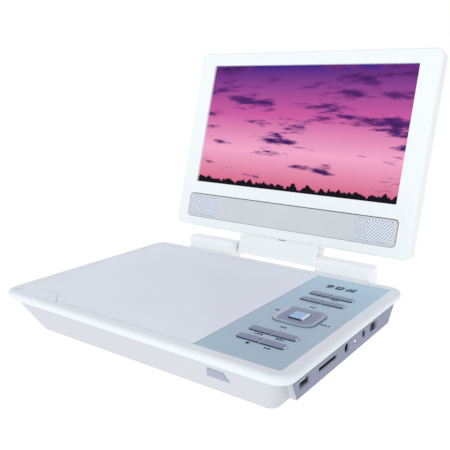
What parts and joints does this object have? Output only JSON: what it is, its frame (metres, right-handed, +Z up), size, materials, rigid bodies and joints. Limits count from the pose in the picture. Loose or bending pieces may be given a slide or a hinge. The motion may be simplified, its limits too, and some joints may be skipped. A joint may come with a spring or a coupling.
{
  "type": "portable dvd player",
  "caption": "Clamshell portable disc player: flat base with hinged disc lid, keypad and side sockets, and a wide screen on a tilting, swivelling centre hinge.",
  "frame": {"origin": "centre of the bounding box in plan, at the level the feet stand on", "axes": "+X to the right of a viewer facing the screen, +Y to the back, +Z up; the screen is open and leans back"},
  "size_m": [0.27, 0.2778, 0.2213],
  "materials": {
    "white_gloss": "moulded white ABS, high gloss",
    "lid_gloss": "moulded pale blue-white ABS with a clear gloss coat",
    "case_white": "moulded white ABS, satin",
    "silver_blue": "brushed silver-blue lacquered plate",
    "key_blue": "metallised blue-silver key caps",
    "port_grey": "blue-grey satin plastic",
    "strip_grey": "fine-grained pale grey plastic",
    "black_plastic": "black moulded plastic",
    "steel": "plain steel",
    "rubber_grey": "dark grey rubber",
    "circuit_board": "green circuit board",
    "lcd_glass": "lit liquid crystal panel under a clear glossy filter"
  },
  "bodies": {
    "base": {"bottom_case": "case_white", "top_cover": "white_gloss", "deck_tray": "lid_gloss", "control_panel": "silver_blue", "port_panel": "port_grey", "ir_window": "port_grey", "usb_shell": "steel", "usb_tongue": "black_plastic", "card_slot": "black_plastic", "dc_inlet": "black_plastic", "phones_jack": "black_plastic", "status_led": "white_gloss", "hinge_cover_left": "white_gloss", "hinge_cover_right": "white_gloss", "main_board": "circuit_board", "key_board": "circuit_board", "battery_pack": "black_plastic", "drive_chassis": "steel", "guide_rod": "steel", "spindle_motor": "steel", "sled_motor": "steel", "foot_front_left": "rubber_grey", "foot_front_right": "rubber_grey", "foot_rear_left": "rubber_grey", "foot_rear_right": "rubber_grey", "case_screw_front_left": "steel", "case_screw_front_right": "steel", "case_screw_rear_left": "steel", "case_screw_rear_right": "steel"},
    "power_switch": {"power_knob": "black_plastic"},
    "hinge_block": {"hinge_block_front": "white_gloss", "hinge_block_back": "white_gloss", "hinge_bracket": "steel", "hinge_axle_left": "steel", "hinge_axle_right": "steel"},
    "screen": {"swivel_shaft": "steel", "screen_bezel": "white_gloss", "screen_back": "white_gloss", "lcd_panel": "lcd_glass", "speaker_strip": "strip_grey", "grille_left": "white_gloss", "grille_right": "white_gloss", "speaker_left": "black_plastic", "speaker_right": "black_plastic", "display_board": "circuit_board"},
    "lid": {"disc_lid": "lid_gloss", "lid_pin_left": "steel", "lid_pin_right": "steel"},
    "lid_release": {"release_key": "lid_gloss"},
    "rocker_1": {"rocker_1": "key_blue"},
    "rocker_2": {"rocker_2": "key_blue"},
    "rocker_3": {"rocker_3": "key_blue"},
    "rocker_4": {"rocker_4": "key_blue"},
    "dpad_dome": {"dpad_dome": "rubber_grey"},
    "dpad": {"dpad": "key_blue"},
    "centre_key": {"centre_key": "key_blue"},
    "turntable": {"turntable": "black_plastic"},
    "pickup_sled": {"pickup_sled": "black_plastic"},
    "lead_screw": {"lead_screw": "steel"}
  },
  "joints": [
    {"name": "screen_tilt", "type": "hinge", "parent": "base", "child": "hinge_block", "pos_m": [0, 0.0721, 0.03], "axis": [-1, 0, 0], "range_deg": [-106.2, 15]},
    {"name": "screen_swivel", "type": "hinge", "parent": "hinge_block", "child": "screen", "pos_m": [0, 0.08248, 0.04781], "axis": [0, 0.279, 0.9603], "range_deg": [0, 180]},
    {"name": "lid_open", "type": "hinge", "parent": "base", "child": "lid", "pos_m": [0, 0.0441, 0.0238], "axis": [-1, 0, 0], "range_deg": [0, 62]},
    {"name": "lid_release_press", "type": "slide", "parent": "base", "child": "lid_release", "axis": [0, 0, -1], "range_m": [0, 0.0012], "stiffness_N_per_m": 300},
    {"name": "power_slide", "type": "slide", "parent": "base", "child": "power_switch", "axis": [0, 1, 0], "range_m": [0, 0.004]},
    {"name": "rocker_1_tilt", "type": "hinge", "parent": "base", "child": "rocker_1", "pos_m": [0.0933, 0.0037, 0.0222], "axis": [0, 1, 0], "range_deg": [-1.5, 1.5], "stiffness_Nm_per_rad": 0.05},
    {"name": "rocker_2_tilt", "type": "hinge", "parent": "base", "child": "rocker_2", "pos_m": [0.0933, -0.0123, 0.0222], "axis": [0, 1, 0], "range_deg": [-1.5, 1.5], "stiffness_Nm_per_rad": 0.05},
    {"name": "rocker_3_tilt", "type": "hinge", "parent": "base", "child": "rocker_3", "pos_m": [0.0933, -0.0848, 0.0222], "axis": [0, 1, 0], "range_deg": [-1.5, 1.5], "stiffness_Nm_per_rad": 0.05},
    {"name": "rocker_4_tilt", "type": "hinge", "parent": "base", "child": "rocker_4", "pos_m": [0.0933, -0.1002, 0.0222], "axis": [0, 1, 0], "range_deg": [-1.5, 1.5], "stiffness_Nm_per_rad": 0.05},
    {"name": "dpad_tilt_fore_aft", "type": "hinge", "parent": "base", "child": "dpad_dome", "pos_m": [0.0933, -0.0492, 0.0222], "axis": [1, 0, 0], "range_deg": [-1.2, 1.2], "stiffness_Nm_per_rad": 0.05},
    {"name": "dpad_tilt_sideways", "type": "hinge", "parent": "dpad_dome", "child": "dpad", "pos_m": [0.0933, -0.0492, 0.0222], "axis": [0, 1, 0], "range_deg": [-1.2, 1.2], "stiffness_Nm_per_rad": 0.05},
    {"name": "centre_key_press", "type": "slide", "parent": "base", "child": "centre_key", "axis": [0, 0, -1], "range_m": [0, 0.0007], "stiffness_N_per_m": 150},
    {"name": "disc_spin", "type": "hinge", "parent": "base", "child": "turntable", "pos_m": [-0.033, -0.0419, 0.018], "axis": [0, 0, 1], "continuous": true},
    {"name": "sled_travel", "type": "slide", "parent": "base", "child": "pickup_sled", "axis": [0, -1, 0], "range_m": [0, 0.029]},
    {"name": "lead_screw_turn", "type": "hinge", "parent": "base", "child": "lead_screw", "pos_m": [-0.011, -0.0689, 0.0098], "axis": [0, 1, 0], "range_deg": [0, 3480]}
  ],
  "couplings": [
    {"joint": "lead_screw_turn", "follows": "sled_travel", "rad_per_m": 2094.4}
  ]
}
